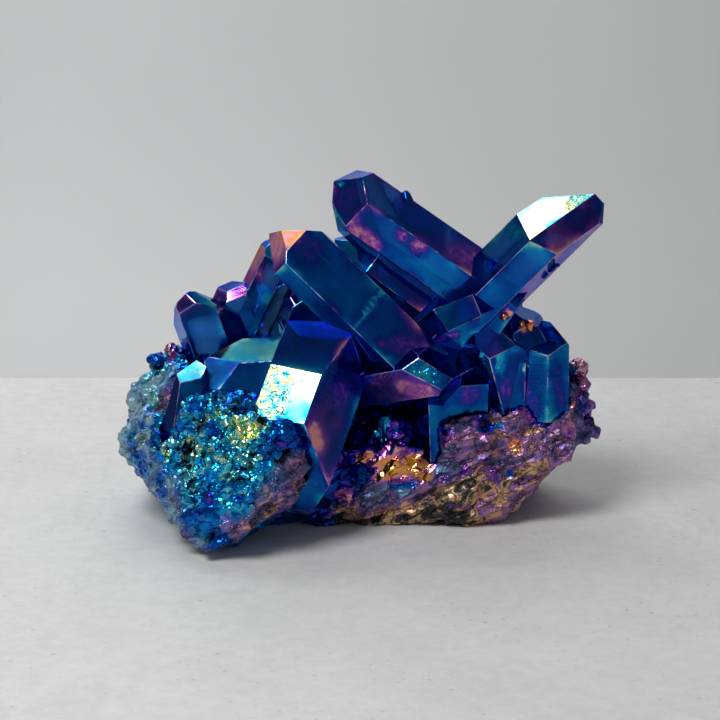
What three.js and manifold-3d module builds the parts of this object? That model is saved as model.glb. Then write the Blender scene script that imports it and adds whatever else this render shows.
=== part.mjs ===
// Titanium-coated quartz cluster: clear points standing out of a rough matrix.
// Millimetres, +Z up, +X along the longest extent, -Y towards the front.
import * as THREE from "three";
import { ConvexGeometry } from "three/addons/geometries/ConvexGeometry.js";
import { ImprovedNoise } from "three/addons/math/ImprovedNoise.js";
import { mergeVertices } from "three/addons/utils/BufferGeometryUtils.js";
import Module from "manifold-3d";

const wasm = await Module();
wasm.setup();

// ---------------------------------------------------------------- sizes
const CLEARANCE = 0.3; // gap between a crystal and the rock that holds it
const FLAT_Z = 0; // height of the sawn base
const CAP_SLOPE = 51.8; // between a quartz cap face's normal and the long axis

const EDGE_SHARPNESS = 30; // higher leaves the boulders' edges crisper

const CRYSTAL_COLOUR = 0x12306f;
const ROCK_COLOUR = 0x4a5583;

// A point is given by its tip, the way its long axis runs and two lists:
// sides: [bearing in degrees, distance of the face from the axis]
// caps:  [bearing in degrees, slope of the face's normal, rise above the tip]
// Bearing 0 looks to the front and 90 to the right of an upright point.
const BIG_POINTS = {
  TOP: {
    tip: [-6.4, 3.9, 68.2],
    along: [-0.82, 0.14, 0.55],
    length: 46,
    sides: [[-5, 7.7], [49, 6.9], [108, 6.2], [178, 7.5], [234, 13], [297, 7.5]],
    caps: [[4, 49, -0.2], [82, 42, 0], [115, 41, 2.5], [182, 43, 2.2], [231, 61, -2.8], [314, 50, 1.3]],
  },
  LEFT: {
    tip: [-17.5, -6.1, 61.1],
    along: [-0.72, 0.15, 0.68],
    length: 43,
    sides: [[-43, 6.8], [33, 5.1], [96, 6.4], [147, 5.5], [207, 5.5], [240, 3.3]],
    caps: [[-40, 41, -1.3], [32, 52, 0.8], [108, 48, -1.6], [147, 52, 0.8], [207, 48, 2.7], [267, 47, 1.5]],
  },
  LEANING: {
    tip: [-16.7, 5, 51.2],
    along: [0.44, 0.15, 0.89],
    length: 40,
    sides: [[-4, 4.4], [56, 4], [118, 4.6], [178, 4.6], [240, 3.8], [295, 4.8]],
    caps: [[-2, 52, 6], [58, 52, 5], [118, 52, 5], [178, 52, 5], [238, 52, 7.5], [298, 52, 8]],
  },
  RIGHT: {
    tip: [47.4, -6, 68.3],
    along: [0.69, -0.04, 0.73],
    length: 56,
    sides: [[24, 6.3], [63, 4.6], [118, 5.9], [179, 6.5], [238, 6.8], [296, 7.7]],
    caps: [[18, 65, -0.4], [57, 58, 2.4], [119, 48, 2.3], [179, 52, 0.5], [193, 64, -1], [299, 61, -0.8]],
  },
  SHORT: {
    tip: [-35.2, -3.1, 51.7],
    along: [-0.3, -0.1, 0.95],
    length: 26,
    sides: [[1, 5.6], [43, 6.8], [109, 6.8], [166, 5.5], [225, 7.5], [289, 5.1]],
    caps: [[-10, 56, 2.2], [38, 43, -1.4], [103, 50, -4], [166, 40, -6.5], [226, 40, -5.5], [277, 55, 0.3]],
  },
  FRONT: {
    tip: [-1, -2, 51.7],
    along: [0.32, 0.5, 0.8],
    length: 50,
    sides: [[-24, 8.9], [37, 8.1], [98, 9.3], [158, 9], [218, 9], [264, 8.9]],
    caps: [[-25, 72, 1], [56, 67, 0.7], [98, 52, 0.5], [158, 52, 0.5], [218, 52, 0.5], [278, 54, -0.2]],
    cut: [-17, 104, [-10.3, -29, 26.5]],
  },
};

// Smaller points: six nearly equal sides, named by the width across them.
const SMALL_POINTS = {
  UNDER_TOP: { tip: [-4.3, 6, 55.8], along: [-0.8, 0.1, 0.59], width: 16, turn: 25, length: 38 },
  BESIDE_SHORT: {
    tip: [-27, 2, 49],
    along: [-0.3, 0, 0.95],
    width: 8,
    turn: 10,
    length: 18,
    top: [-10, 12, -2],
  },
  BEHIND_LEFT: { tip: [-11, 6, 50], along: [-0.15, 0.1, 0.98], width: 13, turn: 5, length: 32 },
  LEAN_LEFT: { tip: [29.2, -2, 44.5], along: [-0.46, 0, 0.89], width: 11, turn: 20, length: 22 },
  BLUNT: {
    tip: [37.5, -3, 42],
    along: [0, 0.1, 0.99],
    width: 10.5,
    turn: 33,
    length: 21,
    top: [-8, 36, -2.5],
  },
  SLIM: {
    tip: [31.5, -7, 37],
    along: [0.02, 0, 1],
    width: 6,
    turn: 10,
    length: 22,
    top: [-20, 30, -1.5],
  },
  FILL: { tip: [24, -7, 44], along: [-0.25, -0.2, 0.94], width: 14, turn: 25, length: 32 },
  BACK_RIGHT: { tip: [27, 14, 50], along: [0.1, 0.25, 0.95], width: 15, turn: 10, length: 44 },
  BACK_TALL: { tip: [3, 24, 51], along: [-0.08, 0.58, 0.81], width: 13, turn: 30, length: 38 },
  BACK_LOW: { tip: [17, 35.9, 41.5], along: [0.13, 0.79, 0.59], width: 11, turn: 5, length: 38 },
  BACK_SMALL: { tip: [-6, 27, 37], along: [-0.1, 0.62, 0.78], width: 10, turn: 20, length: 28 },
  BACK_LEFT: { tip: [-22, 22, 43], along: [-0.3, 0.4, 0.86], width: 12, turn: 15, length: 32 },
  BACK_STUB: { tip: [-31, 18, 33], along: [-0.55, 0.45, 0.7], width: 9, turn: 40, length: 22 },
  BACK_SIDE: { tip: [37, 19, 36], along: [0.5, 0.55, 0.67], width: 11, turn: 12, length: 26 },
};

// Blocks and boulders are lists of faces: bearing, slope of the normal from
// straight up, and a place that the face passes through.
const BLOCKS = {
  CENTRE: [
    [1, 68, [11.3, -20, 37.8]],
    [55, 32, [11.3, -20, 37.8]],
    [59, 124, [18.3, -21.5, 33.7]],
    [-22, 114, [8.4, -21, 35.5]],
    [-57, 33, [8.4, -21, 35.5]],
    [0, 150, [12, -20, 29.5]],
    [180, 88, [12, -8, 33]],
    [-90, 80, [1, -14, 33]],
    [120, 88, [22.5, -12, 33]],
    [0, 8, [12, -18, 38.1]],
  ],
  UNDER_CENTRE: [
    [15, 95, [18, -13.6, 25]],
    [-60, 95, [12.5, -12, 24]],
    [90, 90, [26, -10, 25]],
    [180, 90, [18, -3, 25]],
    [0, 0, [18, -10, 30]],
    [0, 180, [18, -10, 14]],
  ],
  HALF_HIDDEN: [
    [3, 62, [14.6, -16, 46.4]],
    [-133, 31, [14.6, -16, 46.4]],
    [65, 152, [17.7, -18, 42.4]],
    [-59, 110, [14.6, -16, 46.4]],
    [58, 57.5, [22.2, -14, 49.5]],
    [90, 90, [27, -10, 44]],
    [180, 90, [20, -4, 44]],
  ],
  STEP_HIGH: [
    [0, 65, [-23.9, -15, 35.2]],
    [-16, 56, [-23.9, -15, 35.2]],
    [-6, 22, [-23.9, -14.6, 35.4]],
    [-62, 75, [-31, -14, 33]],
    [-139, 80, [-30, -12, 34]],
    [90, 90, [-15, -12, 30]],
    [180, 85, [-22, -7, 34]],
    [0, 180, [-22, -12, 20]],
  ],
  STEP_LOW: [
    [-10, 29, [-32.7, -14, 35.8]],
    [5, 75, [-33, -19.5, 32.5]],
    [-62, 75, [-37, -17, 31.5]],
    [-137, 80, [-36.4, -17.5, 33]],
    [70, 85, [-29.8, -16, 32]],
    [137, 80, [-32.7, -14, 35.8]],
    [0, 180, [-33, -14, 20]],
  ],
};

const BOULDERS = {
  LEFT: {
    centre: [-27, -3, 16],
    detail: 7,
    faces: [
      [-85, 80, [-47.5, 4, 22]],
      [-74, 131, [-44.3, -9, 10.5]],
      [-80, 42, [-45, 5, 27]],
      [-20, 12, [-36, 0, 33]],
      [-8, 63, [-27, -27.5, 28.5]],
      [-50, 72, [-43, -16, 16]],
      [-5, 88, [-28, -35, 5]],
      [35, 86, [-12, -31.5, 12]],
      [72, 141, [-15, -33, 10.8]],
      [172, 72, [-30, 21, 14]],
      [-142, 74, [-40, 13, 15]],
      [-170, 32, [-28, 12, 28]],
      [90, 80, [-2, -5, 15]],
      [62, 62, [-9, -24, 19]],
      [0, 180, [-28, 0, -5]],
    ],
  },
  RIGHT: {
    centre: [14, 6, 14],
    detail: 7,
    faces: [
      [2, 84, [10, -14, 12]],
      [0, 112, [10, -13, 3]],
      [76, 132, [35.5, -8, 7]],
      [88, 82, [46, 5, 22]],
      [80, 40, [41, 5, 32]],
      [0, 5, [20, 5, 29]],
      [0, 38, [15, -13, 21.5]],
      [172, 70, [10, 25, 12]],
      [138, 74, [33, 19, 14]],
      [-165, 68, [-6, 23, 12]],
      [175, 32, [12, 13, 28]],
      [-90, 80, [-22, 0, 14]],
      [0, 180, [10, 0, -4]],
    ],
  },
  SHOULDER: {
    centre: [22, -6, 15],
    detail: 4,
    faces: [
      [8, 92, [22, -14.6, 18]],
      [0, 24, [23, -12, 24.2]],
      [66, 92, [28.5, -10, 18]],
      [-58, 84, [16, -12, 20]],
      [180, 80, [22, 4, 18]],
      [0, 180, [22, -6, 4]],
    ],
  },
};

// Rounded knobs on a boulder: the way out from its centre, and the radius.
const KNOBS = {
  RIGHT: [
    [[30.5, -1, 18], 3.6],
    [[33, -3, 12.5], 2.9],
    [[33, -6, 7.5], 3],
    [[31, -9, 3.5], 2.6],
    [[29, 4, 22], 2.6],
    [[32, 5, 10], 3.2],
    [[26, 12, 14], 2.8],
  ],
  LEFT: [
    [[-16.5, 8, 15], 2.6],
    [[-12, 6, 17], 2.6],
    [[-19, 0, 12], 2],
    [[-20, 13, 8], 2.2],
    [[14.5, -27, 6.5], 3.4],
  ],
  SHOULDER: [],
};

// Little crystals that crust part of a boulder: how many, the middle of the
// patch as a way out from the boulder's centre, its spread and their height.
const CRUSTS = {
  LEFT: [
    { count: 60, toward: [-4, -26, 7], spread: 0.62, height: 2.2 },
    { count: 20, toward: [-20, -4, 10], spread: 0.7, height: 1.8 },
  ],
  RIGHT: [
    { count: 16, toward: [-6, -22, 3], spread: 0.4, height: 1.9 },
    { count: 14, toward: [28, -8, 12], spread: 0.5, height: 2.2 },
  ],
  SHOULDER: [{ count: 8, toward: [0, -8, 7], spread: 0.5, height: 1.6 }],
};

// A hollow between the front point and the right-hand rock, and the small
// point that stands in it.
const HOLLOW = [
  [15, 165, [6, -15, 17.3]],
  [95, 72, [13.5, -12, 22]],
  [-90, 90, [-6, -12, 22]],
  [165, 80, [6, 1, 20]],
  [0, 0, [6, -10, 30]],
  [0, 90, [6, -32, 22]],
];
const HOLLOW_POINT = { tip: [6.6, -9.5, 22.5], along: [-0.3, -0.2, 0.93], width: 4.6, turn: 0, length: 12 };

// ---------------------------------------------------------------- geometry helpers
const rad = THREE.MathUtils.degToRad;
const vec = ([x, y, z]) => new THREE.Vector3(x, y, z);

function facing(bearing, slope) {
  const n = new THREE.Vector3().setFromSphericalCoords(1, rad(slope), rad(bearing));
  return n.set(n.x, -n.z, n.y);
}

function toSolid(geometry) {
  geometry.deleteAttribute("normal");
  geometry.deleteAttribute("uv");
  const g = mergeVertices(geometry, 1e-4);
  const mesh = new wasm.Mesh({
    numProp: 3,
    vertProperties: new Float32Array(g.attributes.position.array),
    triVerts: new Uint32Array(g.index.array),
  });
  return new wasm.Manifold(mesh);
}

function toGeometry(solid) {
  const mesh = solid.getMesh();
  const geometry = new THREE.BufferGeometry();
  geometry.setAttribute("position", new THREE.BufferAttribute(mesh.vertProperties, 3));
  geometry.setIndex(new THREE.BufferAttribute(mesh.triVerts, 1));
  return geometry;
}

// The solid common to a set of half-spaces.
function fromPlanes(planes) {
  const corners = [];
  const hit = new THREE.Vector3();
  const m = new THREE.Matrix3();
  for (let i = 0; i < planes.length; i++) {
    for (let j = i + 1; j < planes.length; j++) {
      for (let k = j + 1; k < planes.length; k++) {
        const [a, b, c] = [planes[i], planes[j], planes[k]];
        m.set(...a.normal, ...b.normal, ...c.normal);
        if (Math.abs(m.determinant()) < 1e-6) continue;
        hit.set(-a.constant, -b.constant, -c.constant).applyMatrix3(m.invert());
        if (planes.every((p) => p.distanceToPoint(hit) < 1e-5)) corners.push(hit.clone());
      }
    }
  }
  return new ConvexGeometry(corners);
}

// ---------------------------------------------------------------- crystals
function pointPlanes({ tip, along, length, sides, caps, cut }, grow = 0) {
  const axis = vec(along).normalize();
  const apex = vec(tip);
  const front = new THREE.Vector3(0, -1, 0).projectOnPlane(axis).normalize();
  const right = new THREE.Vector3().crossVectors(axis, front);
  const planes = [];
  const add = (normal, base) => {
    const through = base.clone().addScaledVector(normal, grow);
    planes.push(new THREE.Plane().setFromNormalAndCoplanarPoint(normal, through));
  };
  const outward = (bearing) => {
    const t = rad(bearing);
    return front.clone().multiplyScalar(Math.cos(t)).addScaledVector(right, Math.sin(t));
  };
  for (const [bearing, reach] of sides) {
    const n = outward(bearing);
    add(n, apex.clone().addScaledVector(n, reach));
  }
  for (const [bearing, slope, rise] of caps) {
    const n = outward(bearing).multiplyScalar(Math.sin(rad(slope)));
    n.addScaledVector(axis, Math.cos(rad(slope)));
    add(n, apex.clone().addScaledVector(axis, rise));
  }
  add(axis.clone().negate(), apex.clone().addScaledVector(axis, -length));
  if (cut) add(facing(cut[0], cut[1]), vec(cut[2]));
  return planes;
}

function regular({ width, turn, top, ...rest }) {
  const six = [0, 1, 2, 3, 4, 5];
  const caps = six.map((i) => {
    return [turn + 60 * i, CAP_SLOPE, 0.12 * width * (1 + Math.sin(4.1 * i + turn))];
  });
  if (top) caps.push(top);
  return {
    ...rest,
    sides: six.map((i) => [turn + 60 * i, (width / 2) * (1 + 0.12 * Math.sin(2.4 * i + turn))]),
    caps,
  };
}

const point = (spec, grow) => toSolid(fromPlanes(pointPlanes(spec, grow)));
const union = (solids) => wasm.Manifold.union(solids);

// ---------------------------------------------------------------- rock
const noise = new ImprovedNoise();

function roughness(p) {
  let sum = 0;
  let size = 14;
  for (let k = 0; k < 3; k++) {
    sum += noise.noise(p.x / size + 3.3, p.y / size, p.z / size) * size * 0.14;
    size /= 2.2;
  }
  return sum;
}

function block(faces, grow = 0) {
  return toSolid(fromPlanes(faces.map(([bearing, slope, through]) => {
    const n = facing(bearing, slope);
    return new THREE.Plane().setFromNormalAndCoplanarPoint(n, vec(through).addScaledVector(n, grow));
  })));
}

// How far the rock reaches from a boulder's centre in each direction.
function surfaceOf({ centre, faces }) {
  const c = vec(centre);
  const planes = faces.map(([bearing, slope, through]) => {
    const n = facing(bearing, slope);
    return { n, reach: n.dot(vec(through).sub(c)) };
  });
  return (v) => {
    let sum = 0;
    for (const { n, reach } of planes) sum += Math.max(0, n.dot(v) / reach) ** EDGE_SHARPNESS;
    const p = v.clone().multiplyScalar(sum ** (-1 / EDGE_SHARPNESS)).add(c);
    return p.addScaledVector(v, roughness(p));
  };
}

function boulder(surface, detail) {
  const geometry = new THREE.IcosahedronGeometry(1, detail);
  const pos = geometry.attributes.position;
  for (let i = 0; i < pos.count; i++) {
    const p = surface(new THREE.Vector3().fromBufferAttribute(pos, i).normalize());
    pos.setXYZ(i, p.x, p.y, p.z);
  }
  return toSolid(geometry);
}

function knobs(surface, list) {
  return list.map(([toward, radius]) => {
    const v = vec(toward).normalize();
    const geometry = new THREE.IcosahedronGeometry(radius, 1);
    geometry.rotateX(radius);
    const p = surface(v).addScaledVector(v, -0.15 * radius);
    geometry.translate(p.x, p.y, p.z);
    return toSolid(geometry);
  });
}

function crust(surface, { count, toward, spread, height }) {
  const middle = vec(toward).normalize();
  const across = new THREE.Vector3(0, 0, 1).cross(middle).normalize();
  const up = middle.clone().cross(across);
  return Array.from({ length: count }, (_, i) => {
    const turn = 2.39996 * i;
    const out = spread * Math.sqrt((i + 0.5) / count);
    const v = middle.clone().addScaledVector(across, out * Math.cos(turn));
    v.addScaledVector(up, out * Math.sin(turn) * 0.8).normalize();
    const h = height * (0.8 + 0.35 * Math.sin(5.1 * i));
    const lean = new THREE.Vector3(Math.sin(3.7 * i), Math.sin(2.3 * i), Math.sin(1.9 * i) + 0.5);
    const along = v.clone().addScaledVector(lean, 0.45).normalize();
    const tip = surface(v).addScaledVector(along, 0.6 * h);
    const caps = [0, 1, 2, 3, 4, 5].map((k) => [40 * i + 60 * k, CAP_SLOPE, 0]);
    return point({ tip: tip.toArray(), along: along.toArray(), length: h, sides: [], caps }, 0);
  });
}

function belowFlat() {
  const g = new THREE.BoxGeometry(200, 200, 50);
  g.translate(0, 0, FLAT_Z - 25);
  return toSolid(g);
}

const CRYSTALS = [
  ...Object.values(BIG_POINTS),
  ...Object.values(SMALL_POINTS).map(regular),
  ...Object.values(BLOCKS),
];

// Crystals that have grown through one another are one solid.
function crystals(grow) {
  return union(CRYSTALS.map((spec) => (Array.isArray(spec) ? block(spec, grow) : point(spec, grow))));
}

// Loose chips and closed pockets are left out.
function mainBody(solid) {
  return solid.decompose().reduce((a, b) => (a.volume() > b.volume() ? a : b));
}

function rockPieces() {
  return Object.entries(BOULDERS).flatMap(([name, spec]) => {
    const surface = surfaceOf(spec);
    const crusts = CRUSTS[name].flatMap((c) => crust(surface, c));
    return [boulder(surface, spec.detail), ...knobs(surface, KNOBS[name]), ...crusts];
  });
}

function matrix() {
  const hollowed = union(rockPieces()).subtract(block(HOLLOW)).add(point(regular(HOLLOW_POINT)));
  return mainBody(hollowed.subtract(belowFlat()).subtract(crystals(CLEARANCE)));
}

// ---------------------------------------------------------------- parts
function mesh(name, solid, colour, rough, metalness) {
  const material = new THREE.MeshStandardMaterial({ color: colour, roughness: rough, metalness });
  const m = new THREE.Mesh(toGeometry(solid), material);
  m.name = name;
  return m;
}

const group = new THREE.Group();
group.name = "quartz_cluster";
const cluster = mainBody(crystals(0).subtract(belowFlat()));
group.add(mesh("crystal_cluster", cluster, CRYSTAL_COLOUR, 0.08, 0.2));
group.add(mesh("matrix", matrix(), ROCK_COLOUR, 0.45, 0.3));
export default group;
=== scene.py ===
import math

import bmesh
import bpy
import numpy as np
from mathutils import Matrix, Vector
from mathutils.kdtree import KDTree


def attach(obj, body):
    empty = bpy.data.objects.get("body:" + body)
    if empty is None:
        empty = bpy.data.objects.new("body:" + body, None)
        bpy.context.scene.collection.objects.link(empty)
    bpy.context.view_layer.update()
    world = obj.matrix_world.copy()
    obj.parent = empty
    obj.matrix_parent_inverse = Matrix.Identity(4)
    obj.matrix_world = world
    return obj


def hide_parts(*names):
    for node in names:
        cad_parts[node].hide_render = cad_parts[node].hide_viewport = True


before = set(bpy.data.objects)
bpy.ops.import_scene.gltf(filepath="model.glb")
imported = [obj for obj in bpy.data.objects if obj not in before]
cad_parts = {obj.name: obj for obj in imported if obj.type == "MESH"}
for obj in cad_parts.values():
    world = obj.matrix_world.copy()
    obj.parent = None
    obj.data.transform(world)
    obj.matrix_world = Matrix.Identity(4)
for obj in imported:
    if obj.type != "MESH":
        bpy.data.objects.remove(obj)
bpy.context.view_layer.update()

# ------------------------------------------------------------------ crystals
# The cluster is quartz: six-sided points, grown through one another out of
# the rock. It was coated hot with a metal film a few hundred atoms thick, so
# its faces shine blue, violet or gold over the clear stone.
MM = 0.001
EDGE_WEAR = 0.12 * MM  # how far in from an edge it is rubbed round
WORN_FOLD = 0.25  # the least angle of a worn edge, in radians
LEVEL = math.radians(0.6)  # faces that turn by less are one face
TOUCHING = 2e-6  # corners closer than this are one corner
SAME_WAY, SAME_PLANE = 0.9995, 0.05 * MM
LONGEST_EDGE = 1.9 * MM
SPLITS = 7  # rounds of halving that bring every edge below that
BORDER = 1.0 * MM  # how fast the film evens out away from an edge
POINTS = {  # in mm: the tip, the way the long axis runs, length, thickness
    "top": ((-6.4, 3.9, 68.2), (-0.82, 0.14, 0.55), 46, 14),
    "left": ((-17.5, -6.1, 61.1), (-0.72, 0.15, 0.68), 43, 12),
    "leaning": ((-16.7, 5, 51.2), (0.44, 0.15, 0.89), 40, 9),
    "right": ((47.4, -6, 68.3), (0.69, -0.04, 0.73), 56, 13),
    "short": ((-35.2, -3.1, 51.7), (-0.3, -0.1, 0.95), 26, 12),
    "front": ((-1, -2, 51.7), (0.32, 0.5, 0.8), 50, 17),
    "under_top": ((-4.3, 6, 55.8), (-0.8, 0.1, 0.59), 38, 15),
    "beside_short": ((-27, 2, 49), (-0.3, 0, 0.95), 18, 8),
    "lean_left": ((29.2, -2, 44.5), (-0.46, 0, 0.89), 22, 11),
    "blunt": ((37.5, -3, 42), (0, 0.1, 0.99), 21, 10),
    "slim": ((31.5, -7, 37), (0.02, 0, 1), 22, 6),
    "fill": ((24, -7, 44), (-0.25, -0.2, 0.94), 32, 14),
    "back_right": ((27, 14, 50), (0.1, 0.25, 0.95), 44, 15),
    "back_tall": ((3, 24, 51), (-0.08, 0.58, 0.81), 38, 13),
    "back_low": ((16, 30, 40), (0.13, 0.79, 0.59), 32, 10),
    "back_small": ((-6, 27, 37), (-0.1, 0.62, 0.78), 28, 10),
    "back_left": ((-22, 22, 43), (-0.3, 0.4, 0.86), 32, 12),
    "back_stub": ((-31, 18, 33), (-0.55, 0.45, 0.7), 22, 9),
    "back_side": ((37, 19, 36), (0.5, 0.55, 0.67), 26, 11),
}


def take_up(piece):
    """Selects a piece and nothing else."""
    bpy.ops.object.select_all(action="DESELECT")
    piece.select_set(True)
    bpy.context.view_layer.objects.active = piece


def copy_of_node(node, name):
    """A piece of its own with the CAD node's mesh, its triangles joined up."""
    piece = bpy.data.objects.new(name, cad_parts[node].data.copy())
    bpy.context.scene.collection.objects.link(piece)
    take_up(piece)
    piece.data.materials.clear()
    bpy.ops.object.mode_set(mode="EDIT")
    bpy.ops.mesh.select_all(action="SELECT")
    bpy.ops.mesh.remove_doubles(threshold=TOUCHING)
    bpy.ops.object.mode_set(mode="OBJECT")
    return piece


def wear_edges(piece, width, least_angle):
    """Rounds the outward edges of a faceted piece, with material slot 1."""
    bpy.ops.object.mode_set(mode="EDIT")
    bpy.ops.mesh.select_all(action="SELECT")
    bpy.ops.mesh.dissolve_limited(angle_limit=LEVEL)
    bpy.ops.mesh.select_all(action="DESELECT")
    bpy.ops.mesh.select_mode(type="EDGE")
    shape = bmesh.from_edit_mesh(piece.data)
    for edge in shape.edges:
        long = edge.calc_length() > 5 * width
        if long and edge.is_convex and edge.calc_face_angle(0) > least_angle:
            edge.select = True
    bmesh.update_edit_mesh(piece.data)
    bpy.ops.mesh.bevel(offset=width, segments=2, clamp_overlap=False, material=1)
    bpy.ops.mesh.select_all(action="SELECT")
    bpy.ops.mesh.dissolve_degenerate(threshold=TOUCHING)
    bpy.ops.object.mode_set(mode="OBJECT")


def grower(centre, normal):
    """The axis of the point that a face belongs to, and 1 if the face is a side.

    A face of a point lies about half its thickness off its axis. A side runs
    along the axis, and a cap slants to it near the tip.
    """
    best = (99, Vector((0, 0, 1)), 0.0)
    for tip, along, length, thick in POINTS.values():
        axis = Vector(along).normalized()
        arm = centre / MM - Vector(tip)
        height = arm.dot(axis)
        lean = abs(normal.dot(axis))
        off = abs((arm - axis * height).length / thick - 0.5)
        is_side = height > -length - 2 and lean < 0.08
        is_cap = height > -0.8 * thick and 0.2 < lean < 0.9
        if (is_side or is_cap) and off < best[0]:
            best = (off, axis, float(is_side))
    return best[1:]


# What single faces are like: a place on the face in mm, how thick the film is
# (0 to 1, thin gold to thick gold through violet, blue and green), and how
# much of the face the bright metal covers.
EVEN_FILM, FILM_SPREAD = 0.55, 0.13
EVEN_COVER = 0.5
FACES = [
    # the top point
    ((-0.8, -4.9, 59.7), 0.55, 0.55),
    ((8.2, -3.5, 63.9), 0.47, 0.6),
    ((-2.8, -0.5, 66.3), 0.41, 0.7),
    ((-4.7, 3.6, 68.7), 0.40, 0.7),
    # the left point
    ((-2.8, -15.9, 46.2), 0.61, 0.7),
    ((-7.7, -15.4, 48.2), 0.62, 0.6),
    ((-16.7, -7.7, 57.6), 0.17, 1.1),
    ((-11.7, -9.9, 60.7), 0.17, 1.0),
    # the right point
    ((36.0, -6.6, 64.5), 0.93, 1.0),
    ((42.8, -8.6, 64.9), 0.44, 0.9),
    ((31.7, -13.0, 58.7), 0.60, 0.6),
    ((36.7, -12.1, 56.5), 0.66, 0.7),
    ((41.4, -12.1, 56.7), 0.27, 0.6),
    # the short point and the low ones in front of it
    ((-27.0, -7.1, 40.0), 0.22, 0.75),
    ((-32.0, -7.7, 42.2), 0.50, 0.3),
    ((-24.8, -11.6, 36.6), 0.82, 0.6),
    ((-31.5, -16.2, 34.7), 0.84, 0.15),
    ((-28.0, -15.1, 33.4), 0.60, 0.1),
    ((-25.6, -16.5, 32.1), 0.60, 0.7),
    # the big block in front
    ((-11.5, -25.9, 30.7), 0.81, 1.0),
    ((-9.7, -14.3, 41.8), 0.56, 0.5),
    ((-5.7, -23.2, 29.9), 0.47, 0.6),
    # the block over the hollow
    ((12.9, -20.9, 35.4), 0.66, 0.8),
    ((16.1, -15.5, 37.0), 0.48, 0.7),
    ((10.1, -18.9, 29.7), 0.38, 0.6),
    # the leaning point, the block's underside and the right-hand points
    ((-20.2, -0.6, 44.6), 0.55, 0.5),
    ((1.6, -11.3, 24.5), 0.46, 1.2),
    ((-24.3, -0.4, 46.7), 0.30, 0.7),
    ((-21.3, 2.8, 51.8), 0.20, 1.1),
    ((30.8, -10.2, 30.4), 0.52, 0.45),
    ((39.3, -10.1, 30.3), 0.62, 0.7),
    ((37.5, -7.6, 37.0), 0.62, 0.9),
    ((-31.9, -7.3, 46.2), 0.72, 1.1),
]
# Patches on the faces: a place, or two that a streak runs between, how far it
# reaches around, all in mm, and its own film thickness.
PATCHES = [
    # the top point
    ((-2.2, -4.3, 60.8), (2.4, -5.8, 57.4), 2.1, 0.19),
    ((8.6, -6.5, 59.4), 1.4, 0.20),
    ((11.8, -7.0, 56.8), 1.8, 0.20),
    ((-2.4, -0.1, 57.0), (3.8, -2.4, 53.0), 1.0, 0.12),
    ((20.2, -6.2, 55.2), (23.5, -5.2, 52.5), 1.7, 0.32),
    ((-2.6, -0.5, 65.4), 2.2, 0.43),
    ((-4.7, 3.6, 68.7), (-3.2, 1.3, 67.9), 0.6, 0.88),
    ((-4.9, -0.4, 62.2), 1.2, 0.85),
    # Painted glint: a gold streak along the tip's top edge.
    ((0.8, 0.0, 70.1), (2.6, 0.1, 70.1), 0.7, 1.00),
    # the left point
    ((-16.7, -7.7, 57.6), 2.7, 0.165),
    ((-13.9, -10.3, 59.8), 1.8, 0.13),
    ((-10.5, -11.7, 57.8), (-8.6, -10.7, 58.7), 1.1, 0.47),
    ((4.6, -11.7, 49.1), (-0.8, -16.8, 43.4), 0.8, 0.76),
    ((5.6, -11.4, 49.0), (14.6, -13.0, 39.8), 0.9, 0.27),
    ((14.2, -12.0, 40.2), 1.4, 0.32),
    ((10.1, -15.7, 39.1), (5.0, -17.0, 39.5), 1.6, 0.38),
    ((-6.7, -13.7, 42.7), 1.6, 0.42),
    # the leaning point
    ((-16.5, 0.0, 48.2), (-19.8, -1.0, 40.5), 1.2, 0.24),
    ((-20.6, 0.3, 49.7), 1.4, 0.28),
    ((-19.0, -0.5, 45.0), 1.2, 0.75),
    # the right point
    ((30.4, -8.6, 60.4), (36.6, -12.5, 59.0), 1.8, 0.74),
    ((44.2, -7.7, 66.1), 2.4, 0.98),
    # Painted glints: two small gold spots at the right point's foot.
    ((33.4, -7.8, 40.6), 1.0, 0.05),
    ((29.8, -10.1, 44.0), 0.9, 0.03),
    # the short point
    ((-26.4, -6.3, 41.4), (-24.2, -4.8, 37.7), 1.8, 0.22),
    ((-28.0, -7.2, 44.1), 1.0, 0.10),
    # the big block in front
    ((-17.1, -20.7, 35.7), (-19.3, -24.4, 29.9), 0.8, 0.96),
    ((-15.6, -22.0, 34.0), (-17.3, -25.6, 28.6), 2.6, 0.89),
    ((-14.6, -22.8, 34.0), (-6.8, -22.6, 33.4), 0.8, 0.92),
    ((-8.4, -27.0, 24.9), (-8.0, -27.2, 22.5), 1.2, 0.15),
    ((-3.7, -21.1, 30.3), 2.6, 0.38),
    ((-2.8, -18.3, 38.7), 1.4, 0.40),
    # the block over the hollow, and the right-hand points
    ((12.9, -21.1, 35.0), 2.5, 0.77),
    ((8.7, -19.4, 31.4), (13.5, -21.0, 30.6), 1.8, 0.20),
    ((3.2, -17.4, 32.4), 1.6, 0.26),
    ((22.0, -12.7, 28.0), 2.6, 0.38),
    ((22.9, -11.4, 42.3), 1.0, 0.40),
    ((31.3, -10.5, 36.7), 1.2, 0.62),
    ((29.5, -10.3, 30.0), (30.0, -10.3, 24.0), 0.8, 0.42),
    ((35.2, -9.9, 27.0), (35.6, -9.9, 22.0), 1.0, 0.44),
    ((39.8, -9.9, 33.0), (41.0, -9.4, 25.0), 1.2, 0.44),
    # Painted highlight: a thin gold line down a right-hand point's edge.
    ((32.8, -9.5, 36.0), (33.4, -9.2, 31.0), 0.45, 0.97),
    ((33.6, -9.0, 30.5), (33.7, -9.2, 23.0), 0.4, 0.22),
    ((28.0, -12.0, 36.0), (28.4, -11.8, 33.0), 1.1, 0.80),
    ((36.5, -7.9, 36.8), (39.0, -6.0, 38.5), 0.6, 0.80),
    ((14.5, -13.8, 38.6), (19.0, -11.9, 40.0), 0.8, 0.28),
]
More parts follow.
